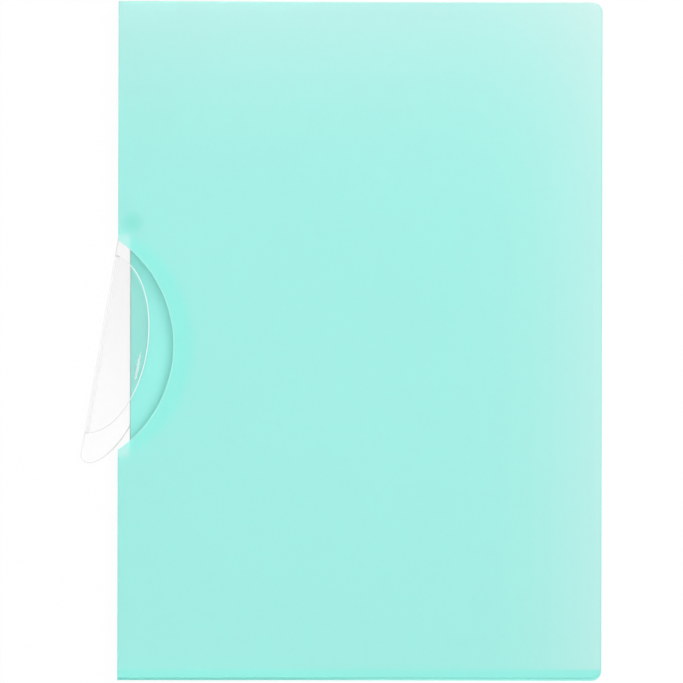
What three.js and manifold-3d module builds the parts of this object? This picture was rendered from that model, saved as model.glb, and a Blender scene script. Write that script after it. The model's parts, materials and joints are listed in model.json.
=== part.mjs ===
// A4 swing-clip folder in translucent plastic sheet, lying closed on a table.
// Millimetres. +X runs from the spine to the opening edge, +Y to the folder's
// top edge, +Z up. The origin is the middle of the covers, on the table.

import * as THREE from 'three';
import { mergeVertices } from 'three/addons/utils/BufferGeometryUtils.js';
import Module from 'manifold-3d';

const wasm = await Module();
wasm.setup();

// Folder
const folderWidth = 221;
const folderHeight = 310;
const sheet = 0.45;
const gap = 0.3;
const cornerRadius = 4.5;
const spineX = -folderWidth / 2;
const foreEdgeX = folderWidth / 2;
const creaseRadius = 0.8;

// Front cover
const frontForeInset = 0.4;
const frontBottomInset = 1.4;
const thumbCutRadius = 57.7;
const thumbCutDepth = 25.3;
const thumbCutY = -1.9;

// Slot for the clip, through the back cover and the spine
const slotDepth = 5.4;
const slotTop = 48.5;
const slotBottom = -52.8;
const slotCornerRadius = 1.5;

// Clip, one bent piece: a rear leaf, a fold and a front leaf
const clipWall = 0.9;
const foldRadius = 2.3;
const clipBackX = spineX + 1.05;
const clipY = thumbCutY - 1.4;
const frontLeafHalfLength = 41.1;
const frontLeafDepth = 22.1;
const rearLeafHalfLength = 55.6;
const rearLeafDepth = 25.7;
const tabCornerRadius = 5;
const swingOpen = THREE.MathUtils.degToRad(9.7);

// Rivet that the clip swings on
const pivotX = spineX + 6.6;
const pivotY = 54;
const rivetHeadRadius = 3;
const rivetHeadHeight = 0.5;
const rivetDome = 0.75;
const shankRadius = 1.5;
const rivetHoleRadius = shankRadius + gap;
const eyeRadius = pivotX - clipBackX;

// Heights over the table
const rearLeafZ = rivetHeadHeight + gap;
const backRaisedZ = rearLeafZ + clipWall + gap;
const clipTopZ = rearLeafZ + 2 * foldRadius;
const frontRaisedZ = clipTopZ + gap;
const frontLowZ = sheet + gap;
const backBendFrom = -82;
const backBendTo = -25;
const frontBendFrom = -108;
const frontBendTo = 20;

const cover = new THREE.MeshStandardMaterial({ color: 0xa4f3e6, roughness: 0.5 });
cover.transparent = true;
cover.opacity = 0.85;
const clear = new THREE.MeshStandardMaterial({ color: 0xf2f4f4, roughness: 0.12 });
clear.transparent = true;
clear.opacity = 0.35;
const rivetPlastic = new THREE.MeshStandardMaterial({ color: 0xdfe6e5, roughness: 0.25 });

function toSolid(geometry) {
  const bare = geometry.clone();
  bare.deleteAttribute('normal');
  bare.deleteAttribute('uv');
  const merged = mergeVertices(bare, 1e-4);
  return new wasm.Manifold(new wasm.Mesh({
    numProp: 3,
    vertProperties: new Float32Array(merged.attributes.position.array),
    triVerts: new Uint32Array(merged.index.array),
  }));
}

function toGeometry(solid) {
  const mesh = solid.getMesh();
  const geometry = new THREE.BufferGeometry();
  const positions = new Float32Array(mesh.vertProperties);
  const triangles = new Uint32Array(mesh.triVerts);
  geometry.setAttribute('position', new THREE.BufferAttribute(positions, 3));
  geometry.setIndex(new THREE.BufferAttribute(triangles, 1));
  geometry.computeVertexNormals();
  return geometry;
}

// A plan outline raised into a prism between two heights.
function prism(shape, low, high, curveSegments = 24) {
  const geometry = new THREE.ExtrudeGeometry(shape, {
    depth: high - low,
    bevelEnabled: false,
    curveSegments,
  });
  geometry.translate(0, 0, low);
  return toSolid(geometry);
}

// A closed section in X and Z swept along Y.
function sweptSection(points, yLow, yHigh) {
  const geometry = new THREE.ExtrudeGeometry(new THREE.Shape(points), {
    depth: yHigh - yLow,
    bevelEnabled: false,
  });
  geometry.rotateX(Math.PI / 2);
  geometry.translate(0, yHigh, 0);
  return toSolid(geometry);
}

function arcPoints(cx, cz, radius, from, to, steps) {
  const points = [];
  for (let i = 0; i <= steps; i += 1) {
    const angle = from + (to - from) * i / steps;
    points.push(new THREE.Vector2(cx + radius * Math.cos(angle), cz + radius * Math.sin(angle)));
  }
  return points;
}

// Height of a cover that comes down gently from a raised level to a low one.
function bendHeight(x, from, to, raised, low) {
  const along = THREE.MathUtils.smoothstep(x, from, to);
  return raised + (low - raised) * along;
}

function bendStations(start, from, to, end, steps) {
  const stations = [start];
  for (let i = 0; i <= steps; i += 1) {
    stations.push(from + (to - from) * i / steps);
  }
  stations.push(end);
  return stations;
}

// Plan that is square on its left, at the spine, and rounded on its right.
function spineOutline(left, right, bottom, top, radius) {
  const arcX = right - radius;
  const shape = new THREE.Shape();
  shape.moveTo(left, bottom);
  shape.lineTo(arcX, bottom);
  shape.absarc(arcX, bottom + radius, radius, -Math.PI / 2, 0, false);
  shape.lineTo(right, top - radius);
  shape.absarc(arcX, top - radius, radius, 0, Math.PI / 2, false);
  shape.lineTo(left, top);
  shape.closePath();
  return shape;
}

function coverOutline(left, right, bottom, top) {
  return spineOutline(left, right, bottom, top, cornerRadius);
}

function slotPrism() {
  const slotRight = spineX + slotDepth;
  const plan = spineOutline(spineX - 2, slotRight, slotBottom, slotTop, slotCornerRadius);
  return prism(plan, -2, frontRaisedZ + 4, 8);
}

function discPrism(x, y, radius, low, high, segments) {
  const geometry = new THREE.CylinderGeometry(radius, radius, high - low, segments);
  geometry.rotateX(Math.PI / 2);
  geometry.translate(x, y, (low + high) / 2);
  return toSolid(geometry);
}

// Back cover and spine are one folded sheet.
function backCover() {
  const yHalf = folderHeight / 2;
  const spineTop = frontRaisedZ - gap;
  const centreX = spineX + creaseRadius;
  const centreZ = backRaisedZ + creaseRadius;
  const stations = bendStations(centreX, backBendFrom, backBendTo, foreEdgeX, 12);
  const under = stations.slice(1).map((x) => new THREE.Vector2(
    x,
    bendHeight(x, backBendFrom, backBendTo, backRaisedZ, 0),
  ));
  const over = under.map((p) => new THREE.Vector2(p.x, p.y + sheet)).reverse();
  const section = [
    new THREE.Vector2(spineX, spineTop),
    ...arcPoints(centreX, centreZ, creaseRadius, Math.PI, 1.5 * Math.PI, 5),
    ...under,
    ...over,
    ...arcPoints(centreX, centreZ, creaseRadius - sheet, 1.5 * Math.PI, Math.PI, 5),
    new THREE.Vector2(spineX + sheet, spineTop),
  ];
  const folded = sweptSection(section, -yHalf, yHalf);
  const outline = prism(coverOutline(spineX - 1, foreEdgeX, -yHalf, yHalf), -2, frontRaisedZ + 4);
  const hole = discPrism(pivotX, pivotY, rivetHoleRadius, backRaisedZ - 1, backRaisedZ + 2, 32);
  return toGeometry(folded.intersect(outline).subtract(slotPrism()).subtract(hole));
}

// Front cover, with the half-round thumb cut at the spine.
function frontCover() {
  const top = folderHeight / 2;
  const bottom = -folderHeight / 2 + frontBottomInset;
  const right = foreEdgeX - frontForeInset;
  const stations = bendStations(spineX, frontBendFrom, frontBendTo, right, 16);
  const under = stations.map((x) => new THREE.Vector2(
    x,
    bendHeight(x, frontBendFrom, frontBendTo, frontRaisedZ, frontLowZ),
  ));
  const over = under.map((p) => new THREE.Vector2(p.x, p.y + sheet)).reverse();
  const folded = sweptSection([...under, ...over], bottom, top);
  const outline = prism(coverOutline(spineX - 1, right, bottom, top), -2, frontRaisedZ + 4);
  const cutX = spineX + thumbCutDepth - thumbCutRadius;
  const cut = discPrism(cutX, thumbCutY, thumbCutRadius, -2, frontRaisedZ + 4, 144);
  return toGeometry(folded.intersect(outline).subtract(cut));
}

// Plan of one clip leaf: half an ellipse on its back edge. The edge's lower end can be rounded.
function leafOutline(backX, centreY, depth, halfLength, cornerSize) {
  const steps = 40;
  const tipY = centreY - halfLength;
  const curve = [];
  for (let i = 0; i < steps; i += 1) {
    const angle = -Math.PI / 2 + Math.PI * i / steps;
    const x = backX + depth * Math.cos(angle);
    const y = centreY + halfLength * Math.sin(angle);
    const inCorner = angle < 0 && x < backX + cornerSize;
    if (!inCorner) {
      curve.push(new THREE.Vector2(x, y));
    }
  }
  const [first, ...others] = curve;
  const shape = new THREE.Shape();
  shape.moveTo(backX, centreY + halfLength);
  shape.lineTo(backX, tipY + cornerSize);
  if (cornerSize > 0) {
    shape.quadraticCurveTo(backX, tipY + 0.05, first.x, first.y);
  } else {
    shape.lineTo(first.x, first.y);
  }
  others.forEach((point) => shape.lineTo(point.x, point.y));
  shape.closePath();
  return shape;
}

// The clip is drawn closed, around its pivot, and its group turns it.
function swingClip() {
  const backX = clipBackX - pivotX;
  const centreY = clipY - pivotY;
  const foldX = backX + foldRadius;
  const foldZ = rearLeafZ + foldRadius;
  const innerRadius = foldRadius - clipWall;
  const farX = backX + rearLeafDepth + 1;
  const reach = rearLeafHalfLength + 12;
  const lowZ = rearLeafZ - 1;
  const highZ = clipTopZ + 1;
  const rearTopZ = rearLeafZ + clipWall;
  const leafUnderZ = backRaisedZ + sheet + gap;
  const slope = (leafUnderZ - (clipTopZ - clipWall)) / (frontLeafDepth - foldRadius);
  const drop = slope * (farX - foldX);

  // A channel that has the section of both leaves and the fold
  const section = [
    new THREE.Vector2(farX, rearTopZ),
    new THREE.Vector2(farX, rearLeafZ),
    ...arcPoints(foldX, foldZ, foldRadius, -Math.PI / 2, -1.5 * Math.PI, 14),
    new THREE.Vector2(farX, clipTopZ + drop),
    new THREE.Vector2(farX, clipTopZ - clipWall + drop),
    ...arcPoints(foldX, foldZ, innerRadius, -1.5 * Math.PI, -Math.PI / 2, 10),
  ].reverse();
  const channel = sweptSection(section, centreY - reach, centreY + reach);
  const foldStrip = prism(new THREE.Shape([
    new THREE.Vector2(backX - 1, centreY - reach),
    new THREE.Vector2(foldX, centreY - reach),
    new THREE.Vector2(foldX, centreY + reach),
    new THREE.Vector2(backX - 1, centreY + reach),
  ]), lowZ, highZ);

  // The plans of the two leaves cut it; past the fold's ends the rear leaf's back edge is flat
  const rearPlan = leafOutline(backX, centreY, rearLeafDepth, rearLeafHalfLength, tabCornerRadius);
  const frontPlan = leafOutline(backX, centreY, frontLeafDepth, frontLeafHalfLength, 0);
  const overFrontPlan = prism(frontPlan, lowZ, highZ);
  const frontLeaf = channel.intersect(overFrontPlan);
  const rearLeaf = channel.intersect(prism(rearPlan, lowZ, rearTopZ + 0.05)).subtract(foldStrip);
  const backEdge = prism(rearPlan, rearLeafZ, rearTopZ).intersect(foldStrip).subtract(overFrontPlan);
  const eye = discPrism(0, 0, eyeRadius, rearLeafZ, rearTopZ, 48);
  const hole = discPrism(0, 0, rivetHoleRadius, lowZ, rearTopZ + 1, 32);
  return toGeometry(frontLeaf.add(rearLeaf).add(backEdge).add(eye).subtract(hole));
}

// A shank with two flat heads; the upper one is slightly domed.
function pivotRivet() {
  const upperZ = backRaisedZ + sheet + gap;
  const points = [
    new THREE.Vector2(0, 0),
    new THREE.Vector2(rivetHeadRadius - 0.2, 0),
    new THREE.Vector2(rivetHeadRadius, 0.15),
    new THREE.Vector2(rivetHeadRadius, rivetHeadHeight),
    new THREE.Vector2(shankRadius, rivetHeadHeight),
    new THREE.Vector2(shankRadius, upperZ),
    new THREE.Vector2(rivetHeadRadius, upperZ),
    new THREE.Vector2(rivetHeadRadius, upperZ + 0.3),
    new THREE.Vector2(rivetHeadRadius - 0.3, upperZ + 0.52),
    new THREE.Vector2(rivetHeadRadius - 1, upperZ + rivetDome - 0.08),
    new THREE.Vector2(rivetHeadRadius - 2, upperZ + rivetDome - 0.01),
    new THREE.Vector2(0, upperZ + rivetDome),
  ];
  const geometry = new THREE.LatheGeometry(points, 40);
  geometry.rotateX(Math.PI / 2);
  return toGeometry(toSolid(geometry));
}

function named(name, geometry, material) {
  const mesh = new THREE.Mesh(geometry, material);
  mesh.name = name;
  return mesh;
}

const folder = new THREE.Group();
folder.add(named('back_cover', backCover(), cover));
folder.add(named('front_cover', frontCover(), cover.clone()));

const pivot = new THREE.Group();
pivot.position.set(pivotX, pivotY, 0);
folder.add(pivot);
pivot.add(named('pivot_rivet', pivotRivet(), rivetPlastic));

const swing = new THREE.Group();
swing.rotation.z = -swingOpen;
pivot.add(swing);
swing.add(named('swing_clip', swingClip(), clear));

folder.updateMatrixWorld(true);

export default folder;
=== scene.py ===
"""A4 swing-clip folder in frosted polypropylene, with a clear clip swung part of the way out."""
import json
import math

import bmesh
import bpy
from bpy.props import FloatProperty, PointerProperty, StringProperty
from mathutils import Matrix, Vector


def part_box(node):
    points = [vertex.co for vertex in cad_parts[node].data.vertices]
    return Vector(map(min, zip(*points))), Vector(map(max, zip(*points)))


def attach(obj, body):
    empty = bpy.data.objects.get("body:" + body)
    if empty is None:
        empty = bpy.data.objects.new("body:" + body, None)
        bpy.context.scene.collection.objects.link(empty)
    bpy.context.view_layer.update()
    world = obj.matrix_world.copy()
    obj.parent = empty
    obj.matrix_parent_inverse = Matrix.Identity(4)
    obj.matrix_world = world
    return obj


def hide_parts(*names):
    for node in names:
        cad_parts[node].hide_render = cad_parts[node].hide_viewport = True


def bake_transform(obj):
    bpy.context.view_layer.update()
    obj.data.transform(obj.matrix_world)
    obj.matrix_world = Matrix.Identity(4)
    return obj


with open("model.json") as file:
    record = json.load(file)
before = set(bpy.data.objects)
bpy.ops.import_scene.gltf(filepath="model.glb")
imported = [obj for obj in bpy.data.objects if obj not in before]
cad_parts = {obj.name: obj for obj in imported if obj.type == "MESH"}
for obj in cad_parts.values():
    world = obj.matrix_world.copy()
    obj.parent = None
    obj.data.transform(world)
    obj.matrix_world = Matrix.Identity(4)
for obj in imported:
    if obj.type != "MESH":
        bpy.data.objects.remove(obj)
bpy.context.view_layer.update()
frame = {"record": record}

bl_info = {
    "name": "Swing-clip folder",
    "version": (1, 0, 0),
    "blender": (4, 5, 0),
    "location": "3D View > Sidebar > Folder",
    "description": "Builds the dressed pieces of an A4 swing-clip folder around its CAD frame",
    "category": "Object",
}

MM = 0.001
BACK_LOW, BACK_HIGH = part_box("back_cover")
FRONT_LOW, FRONT_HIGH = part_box("front_cover")
RIVET_LOW, RIVET_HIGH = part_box("pivot_rivet")
CLIP_LOW, CLIP_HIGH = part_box("swing_clip")
PIVOT = (RIVET_LOW + RIVET_HIGH) / 2

# Height of the back cover's underside along the spine, where the rivet goes through it
RAISED_Z = RIVET_LOW.z + 2.0 * MM

# Two places closer than this, in metres, count as the same
NEAR = 1e-6


def length(name, description, value_mm):
    """A size that is written in millimetres and kept in metres."""
    return FloatProperty(
        name=name, description=description, default=value_mm * MM,
        subtype="DISTANCE", unit="LENGTH", precision=5,
    )


def colour(name, description, hex_value):
    return StringProperty(name=name, description=description, default=hex_value)


class FolderSizes(bpy.types.PropertyGroup):
    """Sizes of the folder's sheets, clip and rivet"""

    sheet: length("Sheet", "Thickness of the polypropylene sheet", 0.45)
    crease_radius: length("Crease radius", "Outer radius of the folds along the spine", 0.8)
    corner_radius: length("Corner radius", "Radius of the covers' outer corners", 4.5)
    cut_edge: length("Cut edge", "Rounding along the sheet's cut edges", 0.07)
    seam_height: length("Seam height", "Where the front sheet takes over from the back one", 4.6)
    thumb_radius: length("Thumb cut radius", "Radius of the thumb cut's arc", 57.7)
    thumb_depth: length("Thumb cut depth", "Depth of the thumb cut from the spine", 25.3)
    thumb_y: length("Thumb cut middle", "Place of the thumb cut along the spine", -1.9)
    slot_depth: length("Slot depth", "Depth of the clip's slot from the spine", 5.4)
    slot_top: length("Slot top", "Upper end of the clip's slot", 48.5)
    slot_bottom: length("Slot bottom", "Lower end of the clip's slot", -52.8)
    slot_corner: length("Slot corner", "Radius of the slot's inner corners", 1.5)
    clip_wall: length("Clip wall", "Wall of the clear clip", 0.9)
    clip_edge: length("Clip edge", "Rounding along the clip's moulded edges", 0.42)
    fold_radius: length("Fold radius", "Outer radius of the clip's fold", 2.3)
    clip_back_x: length("Clip back edge", "Back edge of the closed clip, from the spine", 1.05)
    clip_y: length("Clip middle", "Place of the closed clip along the spine", -3.3)
    front_leaf_half: length("Front leaf half length", "Half the front leaf's length", 41.1)
    front_leaf_depth: length("Front leaf depth", "Depth of the front leaf", 22.1)
    rear_leaf_half: length("Rear leaf half length", "Half the rear leaf's length", 55.6)
    rear_leaf_depth: length("Rear leaf depth", "Depth of the rear leaf", 25.7)
    tab_corner: length("Tab corner", "Radius of the corner at the clip's free end", 5.0)
    shank_radius: length("Shank radius", "Radius of the rivet's shank", 1.5)
    gap: length("Gap", "Running gap between neighbouring pieces", 0.3)


class FolderColours(bpy.types.PropertyGroup):
    """Colours of the folder's plastics and of the stage"""

    front_sheet: colour("Front sheet", "Frosted mint sheet of the front cover", "#B1FFF6")
    # Painted light on the front sheet: its paler top and opening edges and the ends of the slot
    front_painted_light: colour("Front sheet, pale", "Front sheet where it looks palest", "#FFFFFF")
    # Painted shade on the front sheet, beside the thumb cut and along its bottom edge
    front_painted_shade: colour("Front sheet, deep", "Front sheet beside the thumb cut", "#A2FFF4")
    # Painted shade where the rivet shows through the front sheet
    rivet_shade: colour("Over the rivet", "Front sheet where the rivet shows through", "#9CFAEE")
    # Painted highlight: a pale line along the thumb cut's edge
    cut_highlight: colour("Cut line", "Whitened edge of the punched thumb cut", "#C8FFF9")
    back_sheet: colour("Back sheet", "Frosted mint sheet of the back cover", "#A8FFF5")
    slot_line: colour("Slot line", "Cut edge of the clip's slot", "#B0D2CC")
    clip: colour("Clip", "Clear clip", "#FFFFFF")
    clip_hazy: colour("Clip, hazy", "Clear clip towards its pivot", "#F2F3F1")
    # Painted shade on the clip's rim where it stands out of the folder
    clip_rim: colour("Clip rim", "Matt rim of the clear clip", "#EFF0EE")
    clip_glint: colour("Clip glint", "Rim of the clip where it catches the light", "#FFFFFF")
    rivet: colour("Rivet", "Rivet", "#6F8583")
    floor: colour("Floor", "Studio floor", "#F4F4F4")


def linear(hex_value):
    """sRGB hex to linear RGBA."""
    channels = [int(hex_value[i:i + 2], 16) / 255 for i in (1, 3, 5)]
    return [c / 12.92 if c <= 0.04045 else ((c + 0.055) / 1.055) ** 2.4 for c in channels] + [1.0]


def add_node(tree, kind, settings=None, inputs=None):
    """Adds a node, with its settings, its socket values and its links. Sockets go by name, or by
    number where a node's socket names repeat."""
    node = tree.nodes.new(kind)
    for name, value in (settings or {}).items():
        setattr(node, name, value)
    for name, value in (inputs or {}).items():
        if isinstance(value, bpy.types.NodeSocket):
            tree.links.new(value, node.inputs[name])
        else:
            node.inputs[name].default_value = value
    return node


def new_material(name):
    material = bpy.data.materials.new(name)
    material.use_nodes = True
    material.node_tree.nodes.clear()
    return material, material.node_tree


# Numbers of the Mix node's colour sockets
MIX_FIRST, MIX_SECOND, MIX_RESULT = 6, 7, 2


def mask(tree, ramps, most=1.0):
    """The most where every ramp is past its end, and nothing where one is before its start. Each
    ramp is a value with the places where it starts and ends, eased between them."""
    product = most
    for value, start, end in ramps:
        ramp = add_node(
            tree, "ShaderNodeMapRange", {"interpolation_type": "SMOOTHSTEP"},
            {"Value": value, "From Min": start, "From Max": end},
        )
        product = add_node(
            tree, "ShaderNodeMath", {"operation": "MULTIPLY"},
            {0: product, 1: ramp.outputs["Result"]},
        ).outputs[0]
    return product


def growing(tree, value, start, end, power, most):
    """Nothing before the start, then growing faster and faster up to the most at the end."""
    share = add_node(
        tree, "ShaderNodeMapRange", None, {"Value": value, "From Min": start, "From Max": end},
    )
    curve = add_node(
        tree, "ShaderNodeMath", {"operation": "POWER"}, {0: share.outputs["Result"], 1: power},
    )
    return add_node(
        tree, "ShaderNodeMath", {"operation": "MULTIPLY"}, {0: curve.outputs[0], 1: most},
    ).outputs[0]


def distance_from(tree, place, x, y):
    """How far each point is from an upright axis."""
    flat = add_node(
        tree, "ShaderNodeVectorMath", {"operation": "MULTIPLY"}, {0: place, 1: (1, 1, 0)},
    )
    return add_node(
        tree, "ShaderNodeVectorMath", {"operation": "DISTANCE"},
        {0: flat.outputs[0], 1: (x, y, 0)},
    ).outputs["Value"]


# Modelling helpers

def clear_selection():
    if bpy.context.object is not None and bpy.context.object.mode != "OBJECT":
        bpy.ops.object.mode_set(mode="OBJECT")
    bpy.ops.object.select_all(action="DESELECT")


def make_active(piece):
    clear_selection()
    piece.select_set(True)
    bpy.context.view_layer.objects.active = piece


def pick(kind, test):
    """In edit mode, selects the elements whose points all pass the test."""
    bpy.ops.mesh.select_mode(type=kind)
    bpy.ops.mesh.select_all(action="DESELECT")
    mesh = bmesh.from_edit_mesh(bpy.context.object.data)
    elements = {"VERT": mesh.verts, "EDGE": mesh.edges, "FACE": mesh.faces}[kind]
    found = 0
    for element in elements:
        points = [element.co] if kind == "VERT" else [v.co for v in element.verts]
        if all(test(point) for point in points):
            element.select_set(True)
            found += 1
    if not found:
        raise RuntimeError("nothing to select on " + bpy.context.object.name)
    bmesh.update_edit_mesh(bpy.context.object.data)


def apply_modifier(piece, kind, **settings):
    make_active(piece)
    modifier = piece.modifiers.new(kind.title(), kind)
    for name, value in settings.items():
        setattr(modifier, name, value)
    bpy.ops.object.modifier_apply(modifier=modifier.name)


def combine(piece, tool, operation):
    apply_modifier(piece, "BOOLEAN", operation=operation, object=tool, solver="EXACT")
    bpy.data.objects.remove(tool, do_unlink=True)
    if not piece.data.polygons:
        raise RuntimeError("the cut left nothing of " + piece.name)


def drawn_sheet(name, section, low_y, high_y, corner_radius):
    """Draws an edge along a section in X and Z, with the far corners rounded; left in edit mode
    with the last edge selected."""
    clear_selection()
    bpy.ops.mesh.primitive_plane_add(size=1)
    piece = bpy.context.object
    piece.name = name
    start_x, start_z = section[0]
    bpy.ops.object.mode_set(mode="EDIT")
    bpy.ops.mesh.select_all(action="SELECT")
    bpy.ops.transform.resize(value=(1, high_y - low_y, 1), center_override=(0, 0, 0))
    bpy.ops.transform.translate(value=(start_x - 0.5, (high_y + low_y) / 2, start_z))
    pick("VERT", lambda p: p.x < start_x - 0.5)
    bpy.ops.mesh.delete(type="VERT")
    pick("EDGE", lambda p: True)
    previous = section[0]
    for point in section[1:]:
        bpy.ops.mesh.extrude_region_move(
            TRANSFORM_OT_translate={"value": (point[0] - previous[0], 0, point[1] - previous[1])}
        )
        previous = point
    pick("VERT", lambda p: abs(p.x - start_x) < NEAR)
    bpy.ops.mesh.bevel(offset=corner_radius, segments=12, affect="VERTICES")
    end_x, end_z = section[-1]
    pick("EDGE", lambda p: abs(p.x - end_x) < NEAR and abs(p.z - end_z) < NEAR)
    return piece


def keep_places(piece):
    """Stores where each point lies in the closed folder, so that the sheet's tints stay in their
    place when the cover opens."""
    closed = piece.data.attributes.new("closed_place", "FLOAT_VECTOR", "POINT")
    for vertex in piece.data.vertices:
        closed.data[vertex.index].vector = vertex.co


def face_outwards(piece, test, direction):
    """Turns the mesh so that the faces that pass the test look along the direction."""
    make_active(piece)
    bpy.ops.object.mode_set(mode="EDIT")
    bpy.ops.mesh.select_all(action="SELECT")
    bpy.ops.mesh.remove_doubles(threshold=NEAR)
    bpy.ops.mesh.normals_make_consistent(inside=False)
    bpy.ops.object.mode_set(mode="OBJECT")
    wanted = [face for face in piece.data.polygons if test(face.center)]
    if not wanted:
        raise RuntimeError("no face to turn on " + piece.name)
    if sum(face.normal.dot(direction) * face.area for face in wanted) < 0:
        bpy.ops.object.mode_set(mode="EDIT")
        bpy.ops.mesh.flip_normals()
        bpy.ops.object.mode_set(mode="OBJECT")


def half_ellipse_prism(name, back_x, centre_y, depth, half_length, low_z, high_z, corner=0.0):
    """A half-round leaf outline as an upright prism: circle, stretched, cut in half, raised. The
    lower end of its back edge can be rounded."""
    clear_selection()
    bpy.ops.mesh.primitive_circle_add(vertices=160, radius=1, fill_type="NGON")
    piece = bpy.context.object
    piece.name = name
    bpy.ops.object.mode_set(mode="EDIT")
    bpy.ops.mesh.select_all(action="SELECT")
    bpy.ops.mesh.bisect(plane_co=(0, 0, 0), plane_no=(1, 0, 0), use_fill=False, clear_inner=True)
    bpy.ops.mesh.select_all(action="SELECT")
    bpy.ops.transform.resize(value=(depth, half_length, 1), center_override=(0, 0, 0))
    bpy.ops.transform.translate(value=(back_x, centre_y, low_z))
    if corner:
        tip_y = centre_y - half_length
        pick("VERT", lambda p: p.y < centre_y and back_x + NEAR < p.x < back_x + 1.1 * corner)
        bpy.ops.mesh.dissolve_verts()
        pick("VERT", lambda p: abs(p.x - back_x) < NEAR and abs(p.y - tip_y) < NEAR)
        bpy.ops.mesh.bevel(offset=corner, segments=12, affect="VERTICES")
    bpy.ops.mesh.select_all(action="SELECT")
    bpy.ops.mesh.extrude_region_move(TRANSFORM_OT_translate={"value": (0, 0, high_z - low_z)})
    bpy.ops.mesh.select_all(action="SELECT")
    bpy.ops.mesh.normals_make_consistent(inside=False)
    bpy.ops.object.mode_set(mode="OBJECT")
    return piece


def box_tool(name, low, high):
    clear_selection()
    bpy.ops.mesh.primitive_cube_add(size=1)
    tool = bpy.context.object
    tool.name = name
    bpy.ops.object.mode_set(mode="EDIT")
    bpy.ops.mesh.select_all(action="SELECT")
    size = [b - a for a, b in zip(low, high)]
    middle = [(a + b) / 2 for a, b in zip(low, high)]
    bpy.ops.transform.resize(value=size, center_override=(0, 0, 0))
    bpy.ops.transform.translate(value=middle)
    bpy.ops.object.mode_set(mode="OBJECT")
    return tool


def round_tool(name, x, y, radius, low_z, high_z, vertices):
    clear_selection()
    bpy.ops.mesh.primitive_cylinder_add(
        vertices=vertices, radius=radius, depth=high_z - low_z,
        location=(x, y, (low_z + high_z) / 2),
    )
    tool = bpy.context.object
    tool.name = name
    bpy.ops.object.transform_apply(location=True, rotation=False, scale=False)
    return tool


def slot_inner_x():
    """Where the clip's slot ends, inwards from the spine."""
    return BACK_LOW.x + bpy.context.scene.folder_sizes.slot_depth


def slot_tool(sizes):
    """The slot's punch: a bar with its two inner upright edges rounded. It cuts right through the
    back cover and the spine."""
    inner_x = slot_inner_x()
    top, bottom = sizes.slot_top, sizes.slot_bottom
    beyond = 2 * MM
    over_seam_z = FRONT_LOW.z + 4.9 * MM
    tool = box_tool(
        "slot_tool", (BACK_LOW.x - beyond, bottom, -beyond), (inner_x, top, over_seam_z),
    )
    make_active(tool)
    bpy.ops.object.mode_set(mode="EDIT")

    def at_inner_corner(point):
        at_end = abs(point.y - top) < NEAR or abs(point.y - bottom) < NEAR
        return abs(point.x - inner_x) < NEAR and at_end

    pick("EDGE", at_inner_corner)
    mesh = bmesh.from_edit_mesh(tool.data)
    for edge in mesh.edges:
        upright = abs(edge.verts[0].co.z - edge.verts[1].co.z) > MM
        edge.select_set(edge.select and upright)
    bmesh.update_edit_mesh(tool.data)
    bpy.ops.mesh.bevel(offset=sizes.slot_corner, segments=8, affect="EDGES")
    bpy.ops.object.mode_set(mode="OBJECT")
    return tool


def thumb_centre_x(sizes):
    """Centre of the thumb cut's arc, outside the folder."""
    return FRONT_LOW.x + sizes.thumb_depth - sizes.thumb_radius


def eased(x, start, end, raised, low):
    """Height at x of a sheet that eases down from raised, at the start, to low, at the end."""
    t = min(max((x - start) / (end - start), 0.0), 1.0)
    return raised + (low - raised) * t * t * (3 - 2 * t)


def finish_sheet(piece, cut_edge):
    """Rounds the sheet's cut edges and shades it smooth between them."""
    apply_modifier(
        piece, "BEVEL", width=cut_edge, segments=2, limit_method="ANGLE",
        angle_limit=math.radians(40), use_clamp_overlap=False,
    )
    make_active(piece)
    bpy.ops.object.shade_smooth_by_angle(angle=math.radians(14))
    keep_places(piece)


# Materials

def frosted_sheet(name, hex_value, find_tints):
    """Frosted polypropylene sheet, extruded between matt rollers: a milky, slightly waxy
    translucence, a soft satin sheen and a fine sand grain, drawn coarser than the real one so
    that it shows. Its tints, painted light and painted shade read where each point lies in the
    closed folder."""
    material, tree = new_material(name)
    place = add_node(
        tree, "ShaderNodeAttribute",
        {"attribute_type": "GEOMETRY", "attribute_name": "closed_place"},
    ).outputs["Vector"]
    grain = add_node(
        tree, "ShaderNodeTexNoise", {"noise_dimensions": "3D"},
        {"Vector": place, "Scale": 1 / (0.9 * MM), "Detail": 2.0, "Roughness": 0.5},
    )
    cloud = add_node(
        tree, "ShaderNodeTexNoise", {"noise_dimensions": "3D"},
        {"Vector": place, "Scale": 1 / (90 * MM), "Detail": 1.0, "Roughness": 0.4},
    )
    unevenness = 0.01
    sheet = linear(hex_value)[:3]
    surface = add_node(
        tree, "ShaderNodeMix", {"data_type": "RGBA"},
        {
            "Factor": cloud.outputs["Fac"],
            MIX_FIRST: [c * (1 - unevenness) for c in sheet] + [1],
            MIX_SECOND: [min(c * (1 + unevenness), 1) for c in sheet] + [1],
        },
    )
    for amount, tint in find_tints(tree, place):
        surface = add_node(
            tree, "ShaderNodeMix", {"data_type": "RGBA"},
            {"Factor": amount, MIX_FIRST: surface.outputs[MIX_RESULT], MIX_SECOND: linear(tint)},
        )
    sheen = add_node(
        tree, "ShaderNodeMapRange", None,
        {"Value": grain.outputs["Fac"], "To Min": 0.56, "To Max": 0.66},
    )
    bump = add_node(
        tree, "ShaderNodeBump", None,
        {"Height": grain.outputs["Fac"], "Strength": 0.12, "Distance": 0.02 * MM},
    )
    shader = add_node(
        tree, "ShaderNodeBsdfPrincipled", None,
        {
            "Base Color": surface.outputs[MIX_RESULT],
            "Roughness": sheen.outputs["Result"],
            "Normal": bump.outputs["Normal"],
            "IOR": 1.49,
            "Transmission Weight": 0.3,
        },
    )
    add_node(tree, "ShaderNodeOutputMaterial", None, {"Surface": shader.outputs["BSDF"]})
    return material


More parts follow.
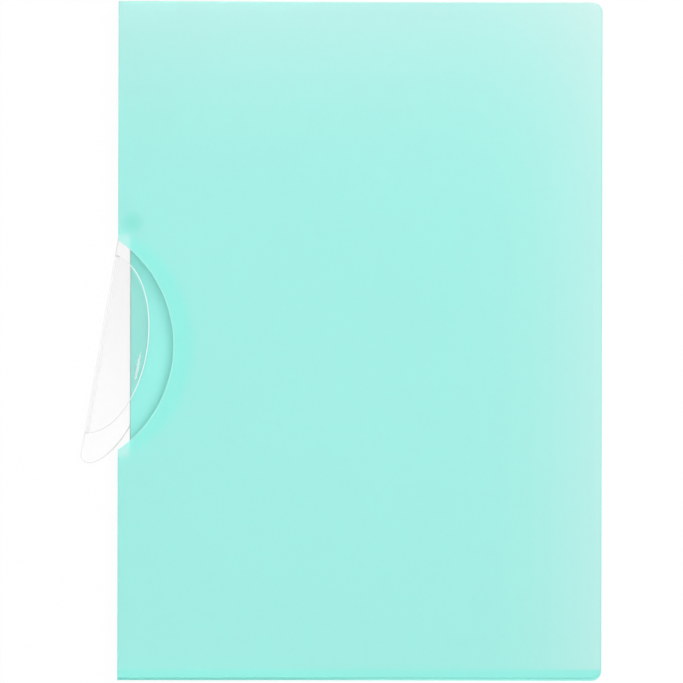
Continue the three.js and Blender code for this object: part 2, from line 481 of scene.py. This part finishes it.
def back_tints(tree, place):
    """The deeper line of the cut edge along the clip's slot."""
    sizes, colours = bpy.context.scene.folder_sizes, bpy.context.scene.folder_colours
    axes = add_node(tree, "ShaderNodeSeparateXYZ", None, {"Vector": place}).outputs
    inner_x = slot_inner_x()
    beside_slot = mask(tree, (
        (axes["Y"], sizes.slot_top, sizes.slot_top - MM),
        (axes["Y"], sizes.slot_bottom, sizes.slot_bottom + MM),
        (axes["X"], inner_x + 0.6 * MM, inner_x + 0.2 * MM),
    ))
    return [(beside_slot, colours.slot_line)]


def front_painted_light_and_shade(tree, place):
    """Painted light and shade on the front sheet over the back one: painted light towards its top
    and opening edges and over the ends of the slot, painted shade where the sheets part beside the
    thumb cut, over the rivet and along the bottom edge, and a painted highlight, a pale line round
    the punched thumb cut."""
    sizes, colours = bpy.context.scene.folder_sizes, bpy.context.scene.folder_colours
    axes = add_node(tree, "ShaderNodeSeparateXYZ", None, {"Vector": place}).outputs

    # Painted light: paler towards the far top and opening edges
    palest = 0.27
    painted_light_toward_edges = add_node(
        tree, "ShaderNodeMath", {"operation": "ADD"},
        {
            0: growing(tree, axes["Y"], 37 * MM, FRONT_HIGH.y, 2.5, palest),
            1: growing(tree, axes["X"], 25 * MM, FRONT_HIGH.x, 3.0, palest),
        },
    )

    # Painted shade: a deeper crescent beside the thumb cut, fading towards its two ends
    crescent_x, crescent_radius, blur = FRONT_LOW.x - 25.2 * MM, 59.4 * MM, 3 * MM
    from_centre = distance_from(tree, place, crescent_x, sizes.thumb_y)
    from_middle = distance_from(tree, place, FRONT_LOW.x, sizes.thumb_y)
    shade_crescent = mask(tree, (
        (from_centre, crescent_radius + blur, crescent_radius - blur),
        (from_middle, 57 * MM, 42 * MM),
    ))

    # Painted light: paler over the ends of the slot, where no back sheet lies under it and light
    # comes through
    inner_x, reach = slot_inner_x(), 2 * MM
    painted_light_over_slot = mask(
        tree,
        (
            (axes["X"], inner_x + MM, inner_x - MM),
            (axes["Y"], sizes.slot_top + reach, sizes.slot_top - reach),
            (axes["Y"], sizes.slot_bottom - reach, sizes.slot_bottom + reach),
        ),
        most=0.3,
    )
    # Painted shade: a darker spot where the rivet shows through
    from_rivet = distance_from(tree, place, PIVOT.x, PIVOT.y)
    rivet_shade = mask(tree, ((from_rivet, 6.5 * MM, MM),))
    # Painted shade: a deeper band along the bottom edge
    bottom_y = FRONT_LOW.y
    shade_along_bottom = mask(tree, ((axes["Y"], bottom_y + 4.8 * MM, bottom_y + 2.6 * MM),))
    # Painted highlight: a pale line round the thumb cut's edge
    from_cut = distance_from(tree, place, thumb_centre_x(sizes), sizes.thumb_y)
    radius = sizes.thumb_radius
    highlighted = mask(tree, ((from_cut, radius + 0.7 * MM, radius + 0.1 * MM),))
    return [
        (painted_light_toward_edges.outputs[0], colours.front_painted_light),
        (shade_crescent, colours.front_painted_shade),
        (painted_light_over_slot, colours.front_painted_light),
        (rivet_shade, colours.rivet_shade),
        (shade_along_bottom, colours.front_painted_shade),
        (highlighted, colours.cut_highlight),
    ]


def clear_plastic(name, clear_hex, hazy_hex):
    """Clear injection-moulded polycarbonate: glossy, hazier towards its pivot, with a fine wear
    and a painted glint, a long pale streak, on the front leaf. Partly see-through by alpha, so
    that the sheet under it stays as light as under a real thin moulding."""
    material, tree = new_material(name)
    place = add_node(tree, "ShaderNodeTexCoord").outputs["Object"]
    axes = add_node(tree, "ShaderNodeSeparateXYZ", None, {"Vector": place}).outputs
    wear = add_node(
        tree, "ShaderNodeTexNoise", {"noise_dimensions": "3D"},
        {"Vector": place, "Scale": 1 / (3 * MM), "Detail": 3.0},
    )
    roughness = add_node(
        tree, "ShaderNodeMapRange", None,
        {"Value": wear.outputs["Fac"], "To Min": 0.04, "To Max": 0.1},
    )
    tone = add_node(
        tree, "ShaderNodeMix", {"data_type": "RGBA"},
        {
            "Factor": mask(tree, ((axes["Y"], -45 * MM, 35 * MM),)),
            MIX_FIRST: linear(clear_hex),
            MIX_SECOND: linear(hazy_hex),
        },
    )

    # The painted glint is a long narrow pale spot on the front leaf, which lies over the rear one
    glint_length, glint_width = 9 * MM, 0.95 * MM
    along_glint = add_node(
        tree, "ShaderNodeMapping", {"vector_type": "TEXTURE"},
        {
            "Vector": place,
            "Location": (-101.6 * MM, -12.2 * MM, 0),
            "Rotation": (0, 0, math.radians(-11)),
            "Scale": (glint_width, glint_length, 1),
        },
    )
    from_glint = distance_from(tree, along_glint.outputs["Vector"], 0, 0)
    painted_glint = mask(tree, ((from_glint, 1.0, 0.4), (axes["Z"], 2.4 * MM, 2.8 * MM)))
    highlighted = add_node(
        tree, "ShaderNodeMix", {"data_type": "RGBA"},
        {"Factor": painted_glint, MIX_FIRST: tone.outputs[MIX_RESULT], MIX_SECOND: (1, 1, 1, 1)},
    )
    clearness = add_node(
        tree, "ShaderNodeMapRange", None, {"Value": painted_glint, "To Min": 0.9, "To Max": 0.4},
    )
    cover = add_node(
        tree, "ShaderNodeMapRange", None, {"Value": painted_glint, "To Min": 0.3, "To Max": 0.55},
    )
    shader = add_node(
        tree, "ShaderNodeBsdfPrincipled", None,
        {
            "Base Color": highlighted.outputs[MIX_RESULT],
            "Roughness": roughness.outputs["Result"],
            "IOR": 1.45,
            "Transmission Weight": clearness.outputs["Result"],
            "Alpha": cover.outputs["Result"],
        },
    )
    add_node(tree, "ShaderNodeOutputMaterial", None, {"Surface": shader.outputs["BSDF"]})
    return material


def matt_plastic(name, rim_shade_hex, rim_highlight_hex, cover):
    """The clip's polycarbonate where it scatters light, on its rounded rim and along its fold,
    with painted light: a bright line of painted highlight where it grips over the mint sheet and
    a grey one of painted shade where it stands out of the folder."""
    material, tree = new_material(name)
    place = add_node(tree, "ShaderNodeTexCoord").outputs["Object"]
    axes = add_node(tree, "ShaderNodeSeparateXYZ", None, {"Vector": place}).outputs
    inner_x = slot_inner_x()
    # Painted shade beyond the slot's end, painted highlight over the sheet
    tone = add_node(
        tree, "ShaderNodeMix", {"data_type": "RGBA"},
        {
            "Factor": mask(tree, ((axes["X"], inner_x - 0.5 * MM, inner_x + 2 * MM),)),
            MIX_FIRST: linear(rim_shade_hex),
            MIX_SECOND: linear(rim_highlight_hex),
        },
    )
    grain = add_node(
        tree, "ShaderNodeTexNoise", {"noise_dimensions": "3D"},
        {"Vector": place, "Scale": 1 / (0.5 * MM), "Detail": 2.0},
    )
    roughness = add_node(
        tree, "ShaderNodeMapRange", None,
        {"Value": grain.outputs["Fac"], "To Min": 0.3, "To Max": 0.5},
    )
    shader = add_node(
        tree, "ShaderNodeBsdfPrincipled", None,
        {
            "Base Color": tone.outputs[MIX_RESULT],
            "Roughness": roughness.outputs["Result"],
            "IOR": 1.3,
            "Transmission Weight": 0.1,
            "Alpha": cover,
        },
    )
    add_node(tree, "ShaderNodeOutputMaterial", None, {"Surface": shader.outputs["BSDF"]})
    return material


def moulded_plastic(name, hex_value):
    """Moulded nylon: a smooth, slightly satin grey."""
    material, tree = new_material(name)
    place = add_node(tree, "ShaderNodeTexCoord").outputs["Object"]
    grain = add_node(
        tree, "ShaderNodeTexNoise", {"noise_dimensions": "3D"},
        {"Vector": place, "Scale": 1 / (0.4 * MM), "Detail": 2.0},
    )
    bump = add_node(
        tree, "ShaderNodeBump", None,
        {"Height": grain.outputs["Fac"], "Strength": 0.1, "Distance": 0.01 * MM},
    )
    shader = add_node(
        tree, "ShaderNodeBsdfPrincipled", None,
        {
            "Base Color": linear(hex_value),
            "Roughness": 0.35,
            "Normal": bump.outputs["Normal"],
            "IOR": 1.53,
        },
    )
    add_node(tree, "ShaderNodeOutputMaterial", None, {"Surface": shader.outputs["BSDF"]})
    return material


def studio_floor(name, hex_value):
    """Pale paper floor: it glows nearly white where it is seen, also in gloss and through clear
    plastic, and keeps the object's shadow."""
    material, tree = new_material(name)
    glow_share = 0.93
    paper = add_node(tree, "ShaderNodeBsdfDiffuse", None, {"Color": linear(hex_value)})
    rays = add_node(tree, "ShaderNodeLightPath").outputs
    seen_or_in_gloss = add_node(
        tree, "ShaderNodeMath", {"operation": "MAXIMUM"},
        {0: rays["Is Camera Ray"], 1: rays["Is Glossy Ray"]},
    )
    seen = add_node(
        tree, "ShaderNodeMath", {"operation": "MAXIMUM"},
        {0: seen_or_in_gloss.outputs[0], 1: rays["Is Transmission Ray"]},
    )
    share = add_node(
        tree, "ShaderNodeMath", {"operation": "MULTIPLY"}, {0: seen.outputs[0], 1: glow_share},
    )
    glow = add_node(tree, "ShaderNodeEmission", None, {"Strength": 1.0})
    both = add_node(
        tree, "ShaderNodeMixShader", None,
        {"Fac": share.outputs[0], 1: paper.outputs[0], 2: glow.outputs[0]},
    )
    add_node(tree, "ShaderNodeOutputMaterial", None, {"Surface": both.outputs[0]})
    return material


# Operators

class FOLDER_OT_back_sheet(bpy.types.Operator):
    """Draws the back cover and spine as one creased sheet, with the clip's slot"""

    bl_idname = "folder.back_sheet"
    bl_label = "Back sheet"

    def execute(self, context):
        sizes, colours = context.scene.folder_sizes, context.scene.folder_colours
        crease = sizes.crease_radius
        raised = RAISED_Z
        crease_x = BACK_LOW.x + crease
        bend_from, bend_to = -82 * MM, -25 * MM
        steps = 26
        section = [(BACK_HIGH.x, 0.0)]
        for i in range(steps + 1):
            x = bend_to + (bend_from - bend_to) * i / steps
            section.append((x, eased(x, bend_from, bend_to, raised, 0.0)))
        section.append((crease_x, raised))
        piece = drawn_sheet("back_sheet", section, BACK_LOW.y, BACK_HIGH.y, sizes.corner_radius)
        bpy.ops.mesh.spin(
            steps=8, angle=-math.pi / 2, center=(crease_x, 0, raised + crease), axis=(0, 1, 0),
        )
        bpy.ops.mesh.extrude_region_move(
            TRANSFORM_OT_translate={"value": (0, 0, sizes.seam_height - raised - crease)}
        )
        bpy.ops.object.mode_set(mode="OBJECT")
        face_outwards(piece, lambda c: c.x > 0, Vector((0, 0, -1)))
        apply_modifier(piece, "SOLIDIFY", thickness=sizes.sheet, offset=-1, use_even_offset=True)
        combine(piece, slot_tool(sizes), "DIFFERENCE")
        hole = round_tool(
            "rivet_hole", PIVOT.x, PIVOT.y, sizes.shank_radius + sizes.gap,
            raised - MM, raised + 2 * MM, 48,
        )
        combine(piece, hole, "DIFFERENCE")
        finish_sheet(piece, sizes.cut_edge)
        piece.data.materials.clear()
        piece.data.materials.append(
            frosted_sheet("frosted_polypropylene_back", colours.back_sheet, back_tints)
        )
        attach(piece, "back")
        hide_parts("back_cover")
        return {"FINISHED"}


class FOLDER_OT_front_sheet(bpy.types.Operator):
    """Draws the front cover with its thumb cut, and the crease that joins it to the spine"""

    bl_idname = "folder.front_sheet"
    bl_label = "Front sheet"

    def execute(self, context):
        sizes, colours = context.scene.folder_sizes, context.scene.folder_colours
        crease = sizes.crease_radius
        top = FRONT_HIGH.z
        low = FRONT_LOW.z + sizes.sheet
        crease_x = FRONT_LOW.x + crease
        bend_from, bend_to = -108 * MM, 20 * MM
        steps = 40
        section = [(FRONT_HIGH.x, low)]
        for i in range(steps + 1):
            x = bend_to + (bend_from - bend_to) * i / steps
            section.append((x, eased(x, bend_from, bend_to, top, low)))
        section.append((crease_x, top))
        piece = drawn_sheet("front_sheet", section, FRONT_LOW.y, FRONT_HIGH.y, sizes.corner_radius)
        bpy.ops.mesh.spin(
            steps=10, angle=math.pi / 2, center=(crease_x, 0, top - crease), axis=(0, 1, 0),
        )
        crease_end = sizes.seam_height + 0.02 * MM
        bpy.ops.mesh.extrude_region_move(
            TRANSFORM_OT_translate={"value": (0, 0, crease_end - top + crease)}
        )
        bpy.ops.object.mode_set(mode="OBJECT")
        face_outwards(piece, lambda c: c.x > 0, Vector((0, 0, 1)))
        apply_modifier(piece, "SOLIDIFY", thickness=sizes.sheet, offset=-1, use_even_offset=True)
        under_all, over_all = -2 * MM, 12 * MM
        thumb = round_tool(
            "thumb_tool", thumb_centre_x(sizes), sizes.thumb_y, sizes.thumb_radius,
            under_all, over_all, 256,
        )
        combine(piece, thumb, "DIFFERENCE")

        # Beside the slot the turned-down crease is cut away, so that the clip can pass
        lip_end = top - sizes.sheet - 0.1 * MM
        lip = box_tool(
            "lip_tool",
            (FRONT_LOW.x - MM, sizes.slot_bottom, 0),
            (FRONT_LOW.x + 2 * MM, sizes.slot_top, lip_end),
        )
        combine(piece, lip, "DIFFERENCE")
        finish_sheet(piece, sizes.cut_edge)
        piece.data.materials.clear()
        piece.data.materials.append(
            frosted_sheet("frosted_polypropylene_front", colours.front_sheet, front_painted_light_and_shade)
        )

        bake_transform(piece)
        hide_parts("front_cover")
        return {"FINISHED"}


class FOLDER_OT_clip(bpy.types.Operator):
    """Moulds the clear clip: rear leaf, fold and front leaf in one piece"""

    bl_idname = "folder.clip"
    bl_label = "Swing clip"

    def execute(self, context):
        sizes, colours = context.scene.folder_sizes, context.scene.folder_colours
        back_x = BACK_LOW.x + sizes.clip_back_x
        centre_y = sizes.clip_y
        wall, fold = sizes.clip_wall, sizes.fold_radius
        low_z, high_z = CLIP_LOW.z, CLIP_HIGH.z
        fold_x = back_x + fold
        far_x = back_x + sizes.rear_leaf_depth + MM
        fold_half = sizes.front_leaf_half * math.sqrt(1 - (fold / sizes.front_leaf_depth) ** 2)

        # The front leaf slopes down until its edge rests just over the back cover
        front_edge_z = RAISED_Z + sizes.sheet + sizes.gap
        slope = (front_edge_z - (high_z - wall)) / (sizes.front_leaf_depth - fold)

        # Rear leaf with its eye, and room along the back edge for the fold
        piece = half_ellipse_prism(
            "clip_moulding", back_x, centre_y, sizes.rear_leaf_depth, sizes.rear_leaf_half,
            low_z, low_z + wall, sizes.tab_corner,
        )
        room = box_tool(
            "fold_room",
            (back_x - MM, centre_y - fold_half, low_z - MM),
            (fold_x, centre_y + fold_half, high_z + MM),
        )
        combine(piece, room, "DIFFERENCE")
        eye = round_tool("eye", PIVOT.x, PIVOT.y, PIVOT.x - back_x, low_z, low_z + wall, 72)
        combine(piece, eye, "UNION")
        hole = round_tool(
            "eye_hole", PIVOT.x, PIVOT.y, sizes.shank_radius + sizes.gap,
            low_z - MM, low_z + wall + MM, 48,
        )
        combine(piece, hole, "DIFFERENCE")

        # The fold turns up and over from that room, and the front leaf runs on from it
        make_active(piece)
        bpy.ops.object.mode_set(mode="EDIT")

        def in_room(point):
            beside = abs(point.y - centre_y) < fold_half + 10 * NEAR
            return abs(point.x - fold_x) < NEAR and beside

        pick("FACE", in_room)
        bpy.ops.mesh.spin(
            steps=24, angle=-math.pi, center=(fold_x, 0, low_z + fold), axis=(0, 1, 0),
        )
        bpy.ops.mesh.extrude_region_move(
            TRANSFORM_OT_translate={"value": (far_x - fold_x, 0, slope * (far_x - fold_x))}
        )
        bpy.ops.mesh.select_all(action="SELECT")
        bpy.ops.mesh.remove_doubles(threshold=NEAR)
        bpy.ops.mesh.normals_make_consistent(inside=False)
        bpy.ops.object.mode_set(mode="OBJECT")

        # All outside the front leaf's outline is cut away, above the rear leaf
        margin, half = 5 * MM, sizes.rear_leaf_half + 12 * MM
        over_rear_z = low_z + wall + 0.4 * MM
        surround = box_tool(
            "front_leaf_surround",
            (back_x - margin, centre_y - half, over_rear_z),
            (far_x + margin, centre_y + half, high_z + MM),
        )
        behind_fold = 0.5 * MM
        outline = half_ellipse_prism(
            "front_leaf_outline", back_x - behind_fold, centre_y,
            sizes.front_leaf_depth + behind_fold, sizes.front_leaf_half,
            over_rear_z - MM, high_z + 2 * MM,
        )
        combine(surround, outline, "DIFFERENCE")
        combine(piece, surround, "DIFFERENCE")

        # Clear walls, a matt rim where the bevel runs, and a hazy fold
        clear, rim, hazy = 0, 1, 2
        # The rim's painted shade and painted highlight
        rim_shade, bright = colours.clip_rim, colours.clip_glint
        piece.data.materials.clear()
        for finish in (
            clear_plastic("clear_polycarbonate", colours.clip, colours.clip_hazy),
            matt_plastic("matt_polycarbonate_rim", rim_shade, bright, 1.0),
            matt_plastic("hazy_polycarbonate_fold", rim_shade, bright, 0.12),
        ):
            piece.data.materials.append(finish)
        apply_modifier(
            piece, "BEVEL", width=sizes.clip_edge, segments=3, limit_method="ANGLE",
            angle_limit=math.radians(50), use_clamp_overlap=False, material=rim,
        )
        for face in piece.data.polygons:
            in_fold = face.center.x < fold_x and abs(face.center.y - centre_y) < fold_half
            if in_fold and face.material_index == clear:
                face.material_index = hazy

        # Moulded closed, it is swung out as far as the frame's clip is
        swing = math.radians(frame_swing())
        make_active(piece)
        bpy.ops.object.mode_set(mode="EDIT")
        bpy.ops.mesh.select_all(action="SELECT")
        bpy.ops.transform.rotate(
            value=swing, orient_axis="Z", center_override=(PIVOT.x, PIVOT.y, 0),
        )
        bpy.ops.object.mode_set(mode="OBJECT")
        bpy.ops.object.shade_smooth_by_angle(angle=math.radians(30))
        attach(piece, "clip")
        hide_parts("swing_clip")
        return {"FINISHED"}


def frame_swing():
    """Degrees that the clip is swung out at rest, which is what its joint can still close."""
    for joint in frame["record"]["behaviour"]["joints"]:
        if joint["name"] == "clip_swing":
            return max(joint["range_deg"])
    raise RuntimeError("the frame has no clip_swing joint")


class FOLDER_OT_rivet(bpy.types.Operator):
    """Turns the rivet: two heads on a shank"""

    bl_idname = "folder.rivet"
    bl_label = "Rivet"

    def execute(self, context):
        sizes, colours = context.scene.folder_sizes, context.scene.folder_colours
        head = (RIVET_HIGH.x - RIVET_LOW.x) / 2

        # Heights over the underside of the lower head's top and the upper head's foot
        lower, upper = 0.5 * MM, 2.75 * MM

        # Height and radius of each ring, from the underside up
        rings = (
            (0.0, head - 0.25 * MM), (0.2 * MM, head), (lower, head),
            (lower, sizes.shank_radius), (upper, sizes.shank_radius), (upper, head),
            (upper + 0.28 * MM, head), (upper + 0.5 * MM, head - 0.28 * MM),
            (upper + 0.66 * MM, head - MM), (upper + 0.74 * MM, head - 2 * MM),
        )
        clear_selection()
        bpy.ops.mesh.primitive_circle_add(vertices=48, radius=rings[0][1], fill_type="NGON")
        piece = bpy.context.object
        piece.name = "rivet_heads"
        bpy.ops.object.mode_set(mode="EDIT")
        bpy.ops.mesh.select_all(action="SELECT")
        height, radius = rings[0]
        for next_height, next_radius in rings[1:]:
            bpy.ops.mesh.extrude_region_move(
                TRANSFORM_OT_translate={"value": (0, 0, next_height - height)}
            )
            factor = next_radius / radius
            bpy.ops.transform.resize(value=(factor, factor, 1), center_override=(0, 0, 0))
            height, radius = next_height, next_radius
        bpy.ops.mesh.select_all(action="SELECT")
        bpy.ops.mesh.normals_make_consistent(inside=False)
        bpy.ops.transform.translate(value=(PIVOT.x, PIVOT.y, RIVET_LOW.z))
        bpy.ops.object.mode_set(mode="OBJECT")
        bpy.ops.object.shade_smooth_by_angle(angle=math.radians(35))
        piece.data.materials.clear()
        piece.data.materials.append(moulded_plastic("moulded_nylon", colours.rivet))
        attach(piece, "back")
        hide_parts("pivot_rivet")
        return {"FINISHED"}


class FOLDER_OT_stage(bpy.types.Operator):
    """Sets the pale floor, the soft light and the camera that looks straight down"""

    bl_idname = "folder.stage"
    bl_label = "Stage"

    def execute(self, context):
        scene = context.scene
        colours = scene.folder_colours
        scene.view_settings.view_transform = "Standard"
        clear_selection()
        floor_size, under_folder = 6, 0.2 * MM
        bpy.ops.mesh.primitive_plane_add(size=floor_size)
        floor = context.object
        floor.name = "studio_floor"
        bpy.ops.object.mode_set(mode="EDIT")
        bpy.ops.mesh.select_all(action="SELECT")
        bpy.ops.transform.translate(value=(0, 0, -under_folder))
        bpy.ops.object.mode_set(mode="OBJECT")
        floor.data.materials.append(studio_floor("studio_paper", colours.floor))

        world = bpy.data.worlds.new("soft_room")
        scene.world = world
        world.use_nodes = True
        room = world.node_tree.nodes["Background"]
        room.inputs["Color"].default_value = (1, 1, 1, 1)
        room.inputs["Strength"].default_value = 1.0

        # A round soft lamp from the upper right, in metres
        bpy.ops.object.light_add(type="AREA", location=(0.55, 0.6, 0.62))
        key = context.object
        key.name = "key_light"
        key.data.shape = "DISK"
        key.data.size = 0.45
        key.data.energy = 1.9
        aim(key, Vector((0, 0, 0)))

        # Straight down, with the folder's outline where the photograph has it
        middle = Vector((-8.5 * MM, -0.1 * MM, 3 * MM))
        distance, seen_width = 2.5, 311.9 * MM
        roll = math.radians(0.12)
        bpy.ops.object.camera_add(location=middle + Vector((0, 0, distance)))
        camera = context.object
        camera.name = "camera"
        camera.rotation_euler = (0, 0, roll)
        camera.data.sensor_width = 36
        camera.data.lens = camera.data.sensor_width * distance / seen_width
        camera.data.clip_end = 20
        scene.camera = camera
        return {"FINISHED"}


def aim(thing, target):
    """Turns a lamp so that it shines at the target."""
    direction = target - thing.location
    thing.rotation_mode = "QUATERNION"
    thing.rotation_quaternion = direction.to_track_quat("-Z", "Y")


class FOLDER_PT_panel(bpy.types.Panel):
    """Lists the folder's operators"""

    bl_idname = "FOLDER_PT_panel"
    bl_label = "Swing-clip folder"
    bl_space_type = "VIEW_3D"
    bl_region_type = "UI"
    bl_category = "Folder"

    def draw(self, context):
        for operator in OPERATORS:
            self.layout.operator(operator.bl_idname)


OPERATORS = (
    FOLDER_OT_stage, FOLDER_OT_back_sheet, FOLDER_OT_front_sheet, FOLDER_OT_clip, FOLDER_OT_rivet,
)
CLASSES = (FolderSizes, FolderColours, *OPERATORS, FOLDER_PT_panel)


def register():
    for item in CLASSES:
        bpy.utils.register_class(item)
    bpy.types.Scene.folder_sizes = PointerProperty(type=FolderSizes)
    bpy.types.Scene.folder_colours = PointerProperty(type=FolderColours)


def unregister():
    del bpy.types.Scene.folder_colours
    del bpy.types.Scene.folder_sizes
    for item in reversed(CLASSES):
        bpy.utils.unregister_class(item)


def main():
    register()
    bpy.ops.folder.stage()
    bpy.ops.folder.back_sheet()
    bpy.ops.folder.front_sheet()
    bpy.ops.folder.clip()
    bpy.ops.folder.rivet()


if __name__ == "__main__":
    main()
